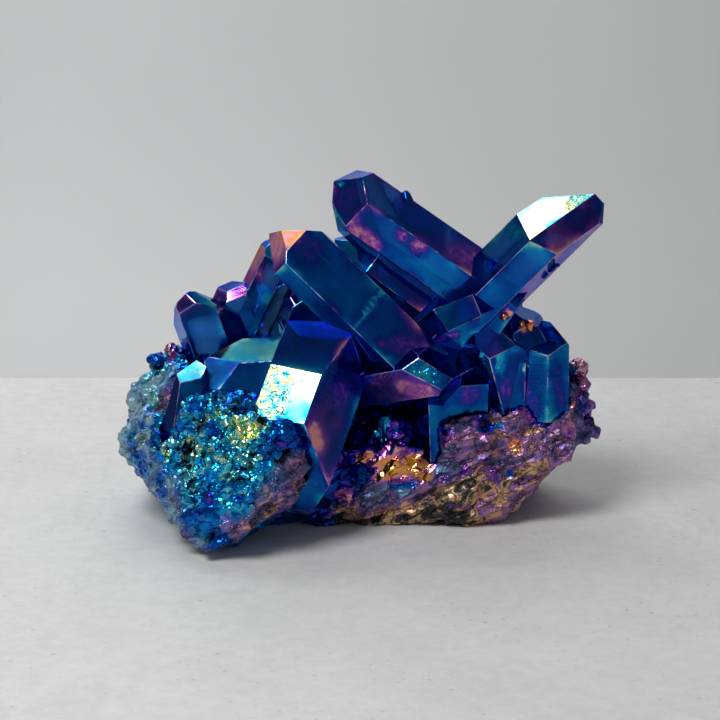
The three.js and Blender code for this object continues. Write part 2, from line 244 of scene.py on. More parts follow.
# The same for slow changes over a face. Most are the film's own tint; the first, teal, low
# on the top point, is a painted glow of light through the stone.
SHADES_AND_GLOWS = [
    ((13.2, -7.3, 50.3), 7.0, 0.67),
    ((3.0, -5.5, 61.0), 6.0, 0.51),
    ((21.2, -6.3, 54.6), 4.5, 0.35),
    ((12.3, -0.8, 64.4), 5.0, 0.44),
    ((-9.7, -11.7, 57.4), 4.0, 0.48),
    ((-3.8, -12.5, 52.6), 5.0, 0.60),
    ((5.0, -14.0, 44.0), 5.0, 0.53),
    ((10.1, -15.1, 40.0), 4.0, 0.42),
    ((-20.8, 0.0, 50.0), 4.0, 0.36),
    ((-17.1, -0.2, 46.6), 4.0, 0.66),
    ((-21.2, -0.6, 42.6), 4.0, 0.62),
    ((35.0, -11.5, 58.5), 4.5, 0.75),
    ((30.8, -12.9, 53.7), 5.0, 0.56),
    ((39.8, -11.0, 57.3), 4.0, 0.30),
    ((-7.7, -15.2, 41.1), 6.0, 0.52),
    ((-9.6, -20.4, 37.3), 4.0, 0.63),
    ((-2.8, -19.6, 33.0), 6.0, 0.50),
    ((-5.7, -24.0, 26.1), 4.0, 0.40),
    ((-8.6, -27.6, 23.1), 3.5, 0.20),
    ((-32.0, -7.8, 43.3), 5.0, 0.51),
    ((-29.0, -7.4, 40.0), 5.0, 0.56),
    ((-25.1, -5.0, 41.5), 5.0, 0.40),
]
# The same for faces etched rough, with the depth of the etching in place of
# the film, and for faces made matt, with their added roughness.
ETCHED = [
    ((-16.5, -22.0, 34.0), (-18.0, -26.5, 27.5), 3.4, 1.0),
    ((-16.5, -27.5, 26.5), (-9.0, -27.5, 25.5), 2.4, 1.0),
    ((-9.0, -22.5, 33.5), 1.4, 0.6),
    ((24.9, -11.6, 35.6), 1.4, 0.8),
    ((27.0, -11.4, 32.6), 1.4, 0.8),
    ((43.5, -7.7, 66.5), 2.4, 1.0),
    ((-11.0, -12.0, 58.3), 2.6, 0.6),
    ((13.0, -21.0, 35.0), 3.2, 0.7),
    ((-0.8, -4.9, 59.7), 1.8, 0.6),
    ((8.6, -6.5, 59.4), 1.1, 0.6),
    ((11.8, -7.0, 56.8), 1.2, 0.6),
]
MATT = [
    ((-8.0, -13.0, 44.0), 7.0, 0.35),
    ((-28.0, -15.1, 33.4), 5.0, 0.5),
    ((-16.5, -22.0, 34.0), (-18.0, -26.5, 27.5), 3.2, 0.25),
    ((-16.5, -27.5, 26.5), (-9.0, -27.5, 25.5), 1.8, 0.22),
    ((44.5, -7.7, 67.0), 2.6, 0.25),
    ((-13.6, -14.3, 54.0), (-4.0, -16.5, 45.0), 5.0, 0.4),
    ((-16.4, -8.5, 58.0), 4.0, 0.5),
    ((-2.2, -4.3, 60.8), (1.6, -5.6, 58.0), 2.2, 0.35),
    ((8.6, -6.5, 59.4), (11.8, -7.0, 56.8), 1.6, 0.35),
    ((-13.0, -10.0, 60.3), 3.5, 0.3),
    ((-20.5, 3.0, 53.0), (-23.0, 2.5, 48.5), 5.0, 0.35),
    ((-13.0, -25.0, 30.0), 4.0, 0.14),
]

crystals = copy_of_node("crystal_cluster", "crystals")
bpy.ops.object.mode_set(mode="EDIT")
bpy.ops.mesh.select_all(action="SELECT")
bpy.ops.mesh.dissolve_limited(angle_limit=LEVEL)
bpy.ops.object.mode_set(mode="OBJECT")

# The growth map runs up each face along its point's axis, in millimetres, so
# that the growth lines lie straight across it.
growth = crystals.data.uv_layers.new(name="growth")
sides = crystals.data.attributes.new("sides", "FLOAT", "FACE")
film = crystals.data.attributes.new("film", "FLOAT", "FACE")
cover = crystals.data.attributes.new("cover", "FLOAT", "FACE")
for face in crystals.data.polygons:
    n = face.normal
    axis, side = grower(face.center, n)
    across = axis.cross(n).normalized()
    up = n.cross(across)
    sides.data[face.index].value = side
    # Elsewhere the film differs a little with the way a face looks.
    swing = math.sin(9 * n.x + 7 * n.y + 5 * n.z)
    film.data[face.index].value = EVEN_FILM + FILM_SPREAD * swing
    cover.data[face.index].value = EVEN_COVER
    for corner in face.loop_indices:
        place = crystals.data.vertices[crystals.data.loops[corner].vertex_index].co
        growth.data[corner].uv = (place.dot(across) / MM, place.dot(up) / MM)
for spot, thick, share in FACES:
    place, normal = crystals.closest_point_on_mesh(Vector(spot) * MM)[1:3]
    for face in crystals.data.polygons:
        step = abs((face.center - place).dot(normal))
        if face.normal.dot(normal) > SAME_WAY and step < SAME_PLANE:
            film.data[face.index].value = thick
            cover.data[face.index].value = share

# Two empty slots, so that the worn edges, which get a painted highlight, can be told from
# the faces.
crystals.data.materials.append(None)
crystals.data.materials.append(None)
wear_edges(crystals, EDGE_WEAR, WORN_FOLD)
bpy.ops.object.mode_set(mode="EDIT")
for turn in range(SPLITS):
    bpy.ops.mesh.select_all(action="SELECT")
    bpy.ops.mesh.quads_convert_to_tris()
    bpy.ops.mesh.select_all(action="DESELECT")
    shape = bmesh.from_edit_mesh(crystals.data)
    for edge in shape.edges:
        edge.select = edge.calc_length() > LONGEST_EDGE
    bpy.ops.mesh.subdivide(number_cuts=1)
bpy.ops.mesh.select_all(action="SELECT")
bpy.ops.mesh.quads_convert_to_tris()
bpy.ops.object.mode_set(mode="OBJECT")


def mark(piece, patches, name, one_face=False):
    """Keeps on each face corner how near the closest patch is, and its value.

    Nearness is 1 within 0.6 of a patch's reach and 0 past 1.6 of it. Where
    patches overlap, the value is their mean, with the nearest counting most.
    With one_face, a patch stays on faces that look the way its middle does.
    """
    mesh = piece.data
    count = len(mesh.loops)
    places = np.empty(len(mesh.vertices) * 3, np.float32)
    mesh.vertices.foreach_get("co", places)
    corners = np.empty(count, np.int32)
    mesh.loops.foreach_get("vertex_index", corners)
    places = places.reshape(-1, 3)[corners] / MM
    facing = np.empty(len(mesh.polygons) * 3, np.float32)
    mesh.polygons.foreach_get("normal", facing)
    sizes = np.empty(len(mesh.polygons), np.int32)
    mesh.polygons.foreach_get("loop_total", sizes)
    facing = np.repeat(facing.reshape(-1, 3), sizes, axis=0)
    near = np.zeros(count)
    total = np.full(count, 1e-6)
    value = np.zeros(count)
    for *ends, reach, target in patches:
        start = np.array(ends[0])
        run = np.array(ends[-1]) - start
        along = np.clip((places - start) @ run / max(run @ run, 1e-6), 0, 1)
        away = np.linalg.norm(places - start - along[:, None] * run, axis=1) / reach
        weight = np.clip(1.6 - away, 0, 1)
        if one_face:
            middle = Vector(start + run / 2) * MM
            normal = piece.closest_point_on_mesh(middle)[2]
            weight = weight * (facing @ np.array(normal) > 0.97)
        near = np.maximum(near, weight)
        total += weight**3
        value += weight**3 * target
    value /= total
    mesh.attributes.new(name, "FLOAT", "CORNER").data.foreach_set("value", value)
    mesh.attributes.new(name + "_near", "FLOAT", "CORNER").data.foreach_set("value", near)


mark(crystals, PATCHES, "patch", True)
mark(crystals, SHADES_AND_GLOWS, "shade", True)
mark(crystals, ETCHED, "etched", True)
mark(crystals, MATT, "matt", True)
# Which faces are the worn edges, later painted lighter as a highlight.
worn = crystals.data.attributes.new("worn", "FLOAT", "FACE")
for face in crystals.data.polygons:
    worn.data[face.index].value = float(face.material_index == 1)
    face.material_index = 0
crystals.data.materials.clear()

# How near each place is to a worn edge, where the film grew uneven.
edges = {i for f in crystals.data.polygons if worn.data[f.index].value for i in f.vertices}
tree = KDTree(len(edges))
for i in edges:
    tree.insert(crystals.data.vertices[i].co, i)
tree.balance()
border = crystals.data.attributes.new("border", "FLOAT", "POINT")
for v in crystals.data.vertices:
    border.data[v.index].value = math.exp(-tree.find(v.co)[2] / BORDER)


class Wire:
    """A shader socket. Sums on it add Math nodes, and node() adds any other."""

    def __init__(self, tree, socket=None):
        self.tree = tree
        self.socket = socket

    def node(self, kind, settings=None, inputs=None, out=0):
        """Adds a node: its settings first, then its sockets' values or links."""
        made = self.tree.nodes.new("ShaderNode" + kind)
        for name, value in (settings or {}).items():
            if name != "stops":
                setattr(made, name, value)
                continue
            stops = made.color_ramp.elements
            while len(stops) < len(value):
                stops.new(0.5)
            for stop, (at, colour) in zip(stops, value):
                stop.position = at
            for stop, (at, colour) in zip(stops, value):
                stop.color = (*colour, 1)
        for name, value in (inputs or {}).items():
            if isinstance(value, Wire):
                self.tree.links.new(value.socket, made.inputs[name])
            else:
                made.inputs[name].default_value = value
        return Wire(self.tree, made.outputs[out] if made.outputs else None)

    def maths(self, operation, a, b=0.0):
        return self.node("Math", {"operation": operation}, {0: a, 1: b})

    def __add__(self, other):
        return self.maths("ADD", self, other)

    def __sub__(self, other):
        return self.maths("SUBTRACT", self, other)

    def __rsub__(self, other):
        return self.maths("SUBTRACT", other, self)

    def __mul__(self, other):
        return self.maths("MULTIPLY", self, other)

    __radd__ = __add__
    __rmul__ = __mul__


def new_material(name):
    """A material with no nodes yet, and a wire to start its nodes from."""
    material = bpy.data.materials.new(name)
    material.use_nodes = True
    material.node_tree.nodes.clear()
    return material, Wire(material.node_tree)


def in_mm(wire):
    """Object coordinates in millimetres."""
    place = wire.node("TexCoord", out="Object")
    return place.node("VectorMath", {"operation": "SCALE"}, {0: place, "Scale": 1000.0})


def noise(place, size, detail=2.0, rough=0.5, stretch=(1, 1, 1), shift=0.0, warp=0.0):
    """Noise around 0.5, with features about size millimetres across."""
    scale = [s / size for s in stretch]
    values = {"Vector": place, "Location": (shift, shift, shift), "Scale": scale}
    scaled = place.node("Mapping", {}, values)
    values = {"Vector": scaled, "Scale": 1.0, "Detail": detail, "Roughness": rough}
    values["Distortion"] = warp
    return place.node("TexNoise", {"noise_dimensions": "3D"}, values, "Fac")


def fade(value, low, high, at_low=0.0, at_high=1.0):
    """A smooth step of a value between two levels."""
    settings = {"interpolation_type": "SMOOTHSTEP"}
    values = {"Value": value, "From Min": low, "From Max": high}
    values |= {"To Min": at_low, "To Max": at_high}
    return value.node("MapRange", settings, values)


def blend(factor, a, b):
    """From colour a to colour b."""
    return factor.node("Mix", {"data_type": "RGBA"}, {0: factor, 6: a, 7: b}, 2)


def drift(factor, a, b):
    """From value a to value b."""
    return factor.node("Mix", {"data_type": "FLOAT"}, {0: factor, 2: a, 3: b}, 0)


# The colours that the film takes as it gets thicker.
FILM = [
    (0.00, (0.80, 0.42, 0.07)),
    (0.10, (0.85, 0.28, 0.12)),
    (0.16, (0.74, 0.34, 0.44)),
    (0.22, (0.48, 0.13, 0.42)),
    (0.30, (0.20, 0.055, 0.46)),
    (0.40, (0.04, 0.03, 0.34)),
    (0.48, (0.003, 0.042, 0.31)),
    (0.60, (0.002, 0.105, 0.49)),
    (0.70, (0.003, 0.25, 0.61)),
    (0.80, (0.03, 0.48, 0.66)),
    (0.88, (0.25, 0.66, 0.50)),
    (0.95, (0.75, 0.75, 0.25)),
    (1.00, (0.95, 0.80, 0.35)),
]


def film_colour(thickness):
    """The colour of the film where it is this thick."""
    return thickness.node("ValToRGB", {"stops": FILM}, {"Fac": thickness}, "Color")


def kept(wire, name):
    """A value kept on the mesh under a name."""
    return wire.node("Attribute", {"attribute_name": name}, out="Fac")


def bump(wire, height, depth, strength=1.0):
    """Relief in which a height of 1 stands this far out."""
    values = {"Height": height, "Strength": strength, "Distance": depth}
    return wire.node("Bump", {}, values)


RELIEF = 0.03 * MM
QUARTZ_IOR = 1.54
CLEAR_STONE = (0.45, 0.72, 1.0, 1)
DEEP_STONE, DEEP_STONE_PER_METRE = (0, 0.57, 0.93, 1), 200.0
STONE_GLINT = (0.05, 0.4, 1.0, 1)  # what both reflect at a glancing angle
FILM_GLINT = (0.35, 0.5, 1.0, 1)
# The lighter colours painted on the worn edges as a highlight.
WORN_LIT_BLUE, WORN_LIT_PINK = (0.36, 0.62, 0.92, 1), (0.86, 0.62, 0.80, 1)

skin, w = new_material("coated_quartz")
place = in_mm(w)
map_up = w.node("UVMap", {"uv_map": "growth"}, out="UV")
crumbs = noise(place, 1.5, 5.0, 0.7)
torn = 1 + (noise(place, 2.6, 6.0, 0.72, shift=2.0) - 0.5) * 2.4
patch = fade(kept(w, "patch_near") * torn, 0.0, 1.15)
frayed = (noise(place, 2.2, 4.0, 0.65) - 0.5) * 1.2
pitted = fade(kept(w, "etched_near") + frayed, 0.3, 0.6) * kept(w, "etched")
streaks = noise(map_up, 5.0, 4.0, 0.6, (1, 0.3, 1))
cloud = (noise(place, 12, 3.0) - 0.5) * 0.40 + (streaks - 0.5) * 0.28
uneven = kept(w, "border") * (noise(place, 8, 3.0, shift=4.0) - 0.52)
worn = kept(w, "worn") * fade(noise(place, 4.5, 4.0, 0.65), 0.42, 0.66)

# The film's thickness: the face's own, then shades with their painted glow, clouds and
# patches.
thick = drift(fade(kept(w, "shade_near"), 0.0, 1.0), kept(w, "film"), kept(w, "shade"))
thick = thick + cloud * (1.2 - kept(w, "cover")) + uneven * 1.5
thick = drift(patch, thick, kept(w, "patch") + (crumbs - 0.5) * 0.5)
thick = thick + pitted * (crumbs - 0.5) * 0.4
# The worn edges are painted a lighter blue, pink in places: a painted highlight along the
# edges.
rubbed_and_lit = blend(fade(noise(place, 7, 2.0, shift=9.0), 0.4, 0.6), WORN_LIT_BLUE, WORN_LIT_PINK)
tint = blend(worn, film_colour(thick), rubbed_and_lit)

# The relief: growth lines across the sides, a slow swell, grain and pits.
lines = noise(map_up, 1.0, 3.0, 0.7, (0.05, 1.9, 1))
swell = noise(map_up, 7.0, 2.0, 0.5)
grain = noise(place, 0.5, 3.0, 0.7)
pits = noise(place, 1.3, 2.0, 0.6) - 0.5
height = lines * (0.25 + 0.75 * kept(w, "sides")) + swell * 2.0 + grain * 0.10
height = height + pitted * pits * 18.0 + patch * pits * 2.0
relief = bump(w, height, RELIEF)
matt = kept(w, "matt") * fade(kept(w, "matt_near"), 0.2, 1.0)
gloss = fade(noise(place, 6, 4.0, 0.6), 0.45, 0.75, 0.05, 0.14) + worn * 0.2 + matt
values = {"Base Color": tint, "Metallic": 1.0, "Roughness": gloss}
values |= {"Specular Tint": FILM_GLINT, "Normal": relief}
metal = w.node("BsdfPrincipled", {}, values)
values = {"Base Color": CLEAR_STONE, "Roughness": matt + 0.03, "Transmission Weight": 1.0}
values |= {"IOR": QUARTZ_IOR, "Specular Tint": STONE_GLINT, "Normal": relief}
stone = w.node("BsdfPrincipled", {}, values)

# How much of the clear stone the bright film hides.
share = kept(w, "cover") + (noise(place, 9, 3.0) - 0.5) * 0.9
share = share + patch * 0.4 + pitted * 0.5 + kept(w, "border") * 0.3 + worn
surface = w.node("MixShader", {}, {0: share, 1: stone, 2: metal})
values = {"Color": DEEP_STONE, "Density": DEEP_STONE_PER_METRE}
depth = w.node("VolumeAbsorption", {}, values)
w.node("OutputMaterial", {}, {"Surface": surface, "Volume": depth})
crystals.data.materials.append(skin)
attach(crystals, "root")
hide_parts("crystal_cluster")

# ------------------------------------------------------------------ rock
# The matrix is the vein rock that the points grew from, broken off and sawn
# flat underneath. It went through the same coating, so it shines too.
ROCK_GRAIN = 0.55 * MM
ROCK_FACES_KEPT = 0.25
LEAST_BIT = 50  # a loose bit of rock with fewer faces goes
LUMP_SIZE, LUMP_DEPTH = 7 * MM, 2.4 * MM
CHIP_SIZE, CHIP_DEPTH = 2.5 * MM, 1.2 * MM
FOLD_SIZE, FOLD_DEPTH = 2.6 * MM, 2.6 * MM
LAYER_TILT, LAYER_STRETCH = math.radians(-30), (4, 2.5, 1)
SAWN_LEVEL = 0.15 * MM  # what lies lower is cut level with the underside


def finish_with(piece, kind, **settings):
    """Puts one modifier on the active piece and applies it."""
    made = piece.modifiers.new(kind.lower(), kind)
    for name, value in settings.items():
        setattr(made, name, value)
    bpy.ops.object.modifier_apply(modifier=made.name)


def roughen(piece, kind, size, strength, middle=0.5, guide=None, **settings):
    """Pushes a piece's surface in and out by a pattern of this size."""
    pattern = bpy.data.textures.new("relief", kind)
    pattern.noise_scale = size
    for name, value in settings.items():
        setattr(pattern, name, value)
    push = {"texture": pattern, "strength": strength, "mid_level": middle}
    if guide:
        push |= {"texture_coords": "OBJECT", "texture_coords_object": guide}
    finish_with(piece, "DISPLACE", **push)


def drop_crumbs(piece, least_faces):
    """Deletes the loose bits of a piece that have fewer faces than this."""
    bpy.ops.object.mode_set(mode="EDIT")
    bpy.ops.mesh.select_all(action="DESELECT")
    shape = bmesh.from_edit_mesh(piece.data)
    seen = set()
    for first in shape.faces:
        if first in seen:
            continue
        bit, rim = {first}, [first]
        while rim:
            face = rim.pop()
            around = {near for edge in face.edges for near in edge.link_faces} - bit
            bit |= around
            rim.extend(around)
        seen |= bit
        if len(bit) < least_faces:
            for face in bit:
                face.select = True
    bmesh.update_edit_mesh(piece.data)
    bpy.ops.mesh.delete(type="FACE")
    bpy.ops.object.mode_set(mode="OBJECT")


rock = copy_of_node("matrix", "rock")
finish_with(rock, "REMESH", mode="VOXEL", voxel_size=ROCK_GRAIN)
smooth = [(v.co.copy(), v.normal.copy()) for v in rock.data.vertices]
roughen(rock, "VORONOI", LUMP_SIZE, LUMP_DEPTH, 0.42)
roughen(rock, "CLOUDS", CHIP_SIZE, CHIP_DEPTH, 0.40, noise_depth=3)
# The rock broke along slanting layers that rise to the right.
bpy.ops.object.empty_add(rotation=(0, LAYER_TILT, 0))
layers = bpy.context.object
layers.scale = LAYER_STRETCH
take_up(rock)
folds = {"noise_type": "HARD_NOISE", "noise_depth": 2}
roughen(rock, "CLOUDS", FOLD_SIZE, -FOLD_DEPTH, 0.22, layers, **folds)
bpy.data.objects.remove(layers)
# How far each place ended up above the smooth solid, in millimetres.
raised = rock.data.attributes.new("raised", "FLOAT", "POINT")
for v, (spot, normal) in zip(rock.data.vertices, smooth):
    raised.data[v.index].value = (v.co - spot).dot(normal) / MM
finish_with(rock, "DECIMATE", ratio=ROCK_FACES_KEPT)
drop_crumbs(rock, LEAST_BIT)
for v in rock.data.vertices:
    if v.co.z < SAWN_LEVEL:
        v.co.z = 0.0

# Patches of film on the rock, as on the crystals' faces.
ROCK_PATCHES = [
    ((-42.3, -9.0, 25.8), 2.5, 0.86),
    ((-37.5, -12.8, 29.4), 2.1, 0.24),
    ((-33.3, -20.5, 28.7), 2.5, 0.86),
    ((-42.0, -12.9, 25.3), 1.2, 0.60),
    ((-43.3, -14.4, 22.1), 1.4, 0.62),
    ((-32.7, -25.2, 24.0), 1.4, 0.60),
    ((-45.8, -13.0, 18.6), 2.5, 0.62),
    ((-44.1, -14.7, 13.8), 3.3, 0.60),
    ((-39.4, -22.6, 11.2), 3.7, 0.60),
    ((-28.0, -26.2, 27.7), 2.2, 0.93),
    ((-22.0, -29.8, 25.8), 3.4, 0.90),
    ((-31.0, -27.5, 21.0), 4.5, 0.79),
    ((-22.9, -32.2, 20.1), 5.3, 0.76),
    ((-38.3, -22.0, 19.3), 1.5, 0.92),
    ((-32.7, -31.9, 14.7), 3.7, 0.76),
    ((-23.9, -34.1, 13.0), 3.7, 0.72),
    ((-28.8, -33.5, 13.4), 1.2, 0.30),
    ((-23.0, -33.9, 13.5), 1.2, 0.30),
    ((-30.8, -33.9, 8.4), 4.5, 0.60),
    ((-27.0, -32.8, 3.9), 2.5, 0.55),
    ((-9.0, -27.2, 20.5), 1.6, 0.20),
    ((-8.7, -28.1, 21.8), 1.2, 0.12),
    ((-9.3, -25.5, 11.7), 2.5, 0.16),
    ((-17.1, -32.1, 22.4), 2.1, 0.60),
    ((-14.9, -30.3, 23.9), 1.6, 0.34),
    ((-12.0, -30.1, 23.9), 2.5, 0.50),
    ((5.0, -13.4, 12.4), (12.5, -14.2, 13.2), 2.8, 0.07),
    ((4.0, -13.3, 9.3), (11.5, -13.8, 9.6), 1.1, 0.62),
    ((5.0, -6.0, 18.0), 6.0, 0.50),
    ((0.0, -13.0, 14.5), (6.0, -11.0, 16.5), 1.4, 0.10),
    ((7.3, -14.4, 10.6), 1.6, 0.50),
    ((-0.2, -14.0, 10.9), 2.1, 0.50),
    ((2.6, -13.2, 12.3), 1.6, 0.42),
    ((-2.8, -14.3, 7.3), 2.1, 0.22),
    ((25.3, -14.4, 22.4), 2.5, 0.20),
    # Painted highlight: a cyan rim on the rock's edge under the right-hand points.
    ((25.3, -13.7, 23.6), 1.2, 0.80),
    ((26.0, -13.4, 14.5), 1.0, 0.50),
    ((30.6, -12.8, 11.3), 1.0, 0.50),
    # Painted highlight: more of the cyan rim along that edge.
    ((24.0, -15.0, 21.5), (28.5, -12.4, 21.5), 0.8, 0.80),
    ((31.5, -12.8, 17.5), 1.6, 0.10),
    ((45.8, 1.3, 26.9), 1.6, 0.06),
    ((45.8, 1.0, 22.5), 1.6, 0.10),
    ((44.9, -8.0, 24.4), 1.6, 0.12),
    ((42.6, -11.6, 20.3), 1.6, 0.20),
    ((-42.3, 3.3, 31.6), 1.6, 0.12),
    ((-37.9, 0.4, 32.8), 1.6, 0.30),
]
# The same for places where the coat is thin and dusty, with a dull tone.
TONES = [
    ((24.3, -15.0, 19.2), (33.0, -12.7, 16.0), 6.0, 0.60),
    ((36.0, -10.6, 9.3), (31.0, -12.0, 4.0), 7.0, 0.70),
    ((41.0, -12.0, 18.0), 4.0, 0.55),
    ((16.0, -14.0, 13.5), (3.0, -13.2, 6.0), 4.0, 0.34),
    ((16.4, -14.5, 8.0), (24.5, -13.8, 8.8), 3.0, 0.82),
    ((-3.0, -14.0, 2.5), (22.0, -13.0, 2.0), 3.0, 0.95),
    ((-12.0, -30.5, 17.5), (-25.0, -34.4, 5.0), 4.0, 0.55),
    ((-9.7, -26.5, 12.5), 3.0, 0.80),
    ((-44.0, 0.8, 28.0), (-46.3, -11.5, 19.0), 7.0, 0.06),
    ((-46.0, -12.0, 16.0), (-37.3, -25.6, 8.0), 6.0, 0.14),
    ((-37.0, -26.0, 6.0), (-29.0, -33.0, 3.0), 4.0, 0.22),
    ((-38.5, -13.0, 29.0), 4.0, 0.48),
    ((44.0, -6.0, 20.0), (45.5, 1.0, 30.0), 7.0, 0.42),
    ((38.0, 14.0, 10.0), (44.0, 8.0, 20.0), 9.0, 0.62),
    ((24.0, 27.0, 8.0), (34.0, 22.0, 16.0), 8.0, 0.40),
    ((8.0, 32.0, 6.0), (-4.0, 34.0, 14.0), 9.0, 0.55),
    ((-18.0, 30.0, 8.0), (-26.0, 27.0, 16.0), 8.0, 0.20),
    ((-36.0, 18.0, 8.0), (-42.0, 10.0, 20.0), 9.0, 0.08),
]
# Where small points crust the rock: a place, how far, and how thickly.
CRUSTED = [
    ((-28.0, -26.2, 27.7), 6.0, 0.9),
    ((-22.0, -29.8, 24.8), 6.5, 1.0),
    ((-31.0, -27.5, 21.0), 6.5, 1.0),
    ((-22.9, -32.2, 19.1), 6.5, 1.0),
    ((-38.3, -22.0, 19.3), 4.0, 0.8),
    ((-32.7, -31.9, 14.7), 3.5, 0.7),
    ((-42.3, 3.3, 31.6), 7.0, 0.5),
    ((45.8, 1.3, 22.0), 7.0, 0.35),
    ((40, 12, 28), 9.0, 0.6),
    ((10, 20, 30), 14.0, 0.6),
    ((-30, 16, 28), 12.0, 0.6),
]


def mark_rock(piece):
    """Keeps the patches, the dull places and the crust's places on a piece."""
    mark(piece, ROCK_PATCHES, "patch")
    mark(piece, TONES, "tone")
    mark(piece, CRUSTED, "crusted")


mark_rock(rock)

DULL = [  # the dusty colours of the tones
    (0.00, (0.25, 0.40, 0.44)),
    (0.12, (0.15, 0.35, 0.50)),
    (0.24, (0.15, 0.18, 0.40)),
    (0.36, (0.06, 0.065, 0.13)),
    (0.46, (0.15, 0.10, 0.33)),
    (0.56, (0.40, 0.18, 0.35)),
    (0.64, (0.14, 0.09, 0.24)),
    (0.73, (0.66, 0.31, 0.21)),
    (0.84, (0.62, 0.42, 0.21)),
    (0.92, (0.09, 0.08, 0.06)),
    (1.00, (0.03, 0.03, 0.03)),
]
# Near-black, painted as shade in hollows and fine creases.
HOLLOW_SHADE, CREASE_SHADE = (0.005, 0.012, 0.035, 1), (0.012, 0.012, 0.03, 1)
BED_TILT = math.radians(28)
ROCK_RELIEF = 0.6 * MM


def along(place, axis):
    """How far a place lies along one axis."""
    return place.node("SeparateXYZ", {}, {"Vector": place}, axis)


crust, w = new_material("coated_rock")
place = in_mm(w)
flow = w.node("Mapping", {}, {"Vector": place, "Rotation": (0, BED_TILT, 0)})
bands = noise(flow, 2.6, 3.0, 0.55, (0.22, 0.5, 1))
swirl = noise(flow, 3.4, 4.0, 0.55, (0.5, 0.6, 1), 7.0, 1.5)
crumbs = noise(place, 1.8, 1.5, 0.5)
foil = noise(place, 4.0, 1.0, 0.5, shift=5.0)
torn = 1 + (noise(place, 3.4, 4.0, 0.65, shift=2.0) - 0.5) * 2.6
ridge = fade(kept(w, "raised") + (bands - 0.5) * 1.8, -0.8, 1.0)
patch = fade(kept(w, "patch_near") * torn, 0.2, 0.9)
crowd = kept(w, "crusted_near")

# The film is thicker, so bluer and greener, toward the left end.
wander = (noise(place, 14, 4.0, 0.6, shift=3.0) - 0.5) * 50
left = fade(along(place, "X") + wander, 2, -26)
cloud = (noise(place, 4, 4.0, 0.6) - 0.5) * 0.42
cloud = cloud + (bands - 0.5) * 0.35 + (0.5 - ridge) * 0.25
in_patch = kept(w, "patch") + cloud * 0.5 + (crumbs - 0.5) * 0.32
thick = drift(patch, left * 0.32 + 0.38 + cloud, in_patch)

# Where the coat is thin and dusty the pale vein rock shows through it.
dust = fade(kept(w, "tone_near") * torn + (bands - 0.5), 0.32, 0.62)
dust = dust * (1 - patch) * (1 - crowd * 0.8)
tone = kept(w, "tone") + (swirl - 0.5) * 1.5
powder = w.node("ValToRGB", {"stops": DULL}, {"Fac": tone}, "Color")
tint = blend(dust, film_colour(thick), powder)

# Fine lines part the crust's small points, painted with a lighter film there as a painted
# highlight. On the dusty rock they are painted dark as shade in their creases, and hollows
# are painted nearly black as shade.
line = w.maths("ABSOLUTE", noise(flow, 3.0, 3.0, 0.6, (0.6, 0.8, 1), 1.0) - 0.5)
line = fade(line, 0.0, 0.04, 1.0, 0.0)
tint = blend(line * crowd * 0.8, tint, film_colour(thick + 0.14))
# Painted shade: the hollows are painted nearly black.
painted_hollow_shade = fade(kept(w, "raised") + (foil - 0.5) * (crowd * 4.0 + 1.5), -1.5, 0.0)
tint = blend(painted_hollow_shade, HOLLOW_SHADE, tint)
# Painted shade: on the dusty rock the fine lines are painted dark in their creases.
tint = blend(line * dust * 0.6, tint, CREASE_SHADE)

lumps = crumbs * (0.5 + crowd * 0.7 + patch * 0.5 - dust * 0.3)
lumps = lumps + bands * 0.6 + foil * crowd * 1.5
lumps = lumps + swirl * dust - line * dust * 0.5
gloss = fade(noise(place, 3, 3.0), 0.3, 0.7, 0.06, 0.16) + dust * 0.26 + crowd * 0.08
values = {"Base Color": tint, "Metallic": 1.0 - dust * 0.4, "Roughness": gloss}
values["Normal"] = bump(w, lumps, ROCK_RELIEF)
w.node("OutputMaterial", {}, {"Surface": w.node("BsdfPrincipled", {}, values)})
rock.data.materials.append(crust)
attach(rock, "root")
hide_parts("matrix")

# ------------------------------------------------------------------ druse
# Where the vein stood open, stubby points of quartz a millimetre or two long
# grew on the rock. They crowd into one crinkled crust, and the metal film went
# over all of it.
STUB_SPACING = 2.1 * MM
STUBS_PER_AREA = 0.34e6  # to the square metre, before the spacing thins them
STUB_LEAN, STUB_TURN = 0.34, 3.1  # at most, in radians
SMALLEST_STUB = [1.3 * MM, 1.3 * MM, 0.8 * MM]
LARGEST_STUB = [3.8 * MM, 3.8 * MM, 2.2 * MM]
CRUST_GRAIN = 0.3 * MM
CRUST_FACES_KEPT = 0.3
LEAST_CRUMB = 8

# One stub, a metre across until it is scaled: a five-sided post with a
# slanting, worn end.
bpy.ops.mesh.primitive_cylinder_add(vertices=5, radius=0.5, depth=0.9)
stub = bpy.context.object
bpy.ops.object.mode_set(mode="EDIT")
bpy.ops.mesh.select_all(action="DESELECT")
shape = bmesh.from_edit_mesh(stub.data)
for face in shape.faces:
    face.select = face.normal.z > 0.9
bpy.ops.mesh.extrude_region_move(TRANSFORM_OT_translate={"value": (0.06, 0.03, 0.18)})
bpy.ops.transform.resize(value=(0.72, 0.55, 1))
bpy.ops.mesh.select_all(action="DESELECT")
shape = bmesh.from_edit_mesh(stub.data)
for edge in shape.edges:
    edge.select = edge.verts[0].co.z + edge.verts[1].co.z > -0.4
bmesh.update_edit_mesh(stub.data)
bpy.ops.mesh.bevel(offset=0.05, segments=1, clamp_overlap=True)
bpy.ops.object.mode_set(mode="OBJECT")

druse = bpy.data.objects.new("druse", rock.data.copy())
bpy.context.scene.collection.objects.link(druse)
tree = bpy.data.node_groups.new("sow", "GeometryNodeTree")
tree.interface.new_socket("Mesh", in_out="INPUT", socket_type="NodeSocketGeometry")
tree.interface.new_socket("Mesh", in_out="OUTPUT", socket_type="NodeSocketGeometry")


def sow_node(kind, settings, inputs):
    """Adds a geometry node; inputs are values or (node, output) pairs."""
    made = tree.nodes.new(kind)
    for name, value in settings.items():
        setattr(made, name, value)
    for name, value in inputs.items():
        if isinstance(value, tuple) and isinstance(value[0], bpy.types.Node):
            tree.links.new(value[0].outputs[value[1]], made.inputs[name])
        else:
            made.inputs[name].default_value = value
    return made


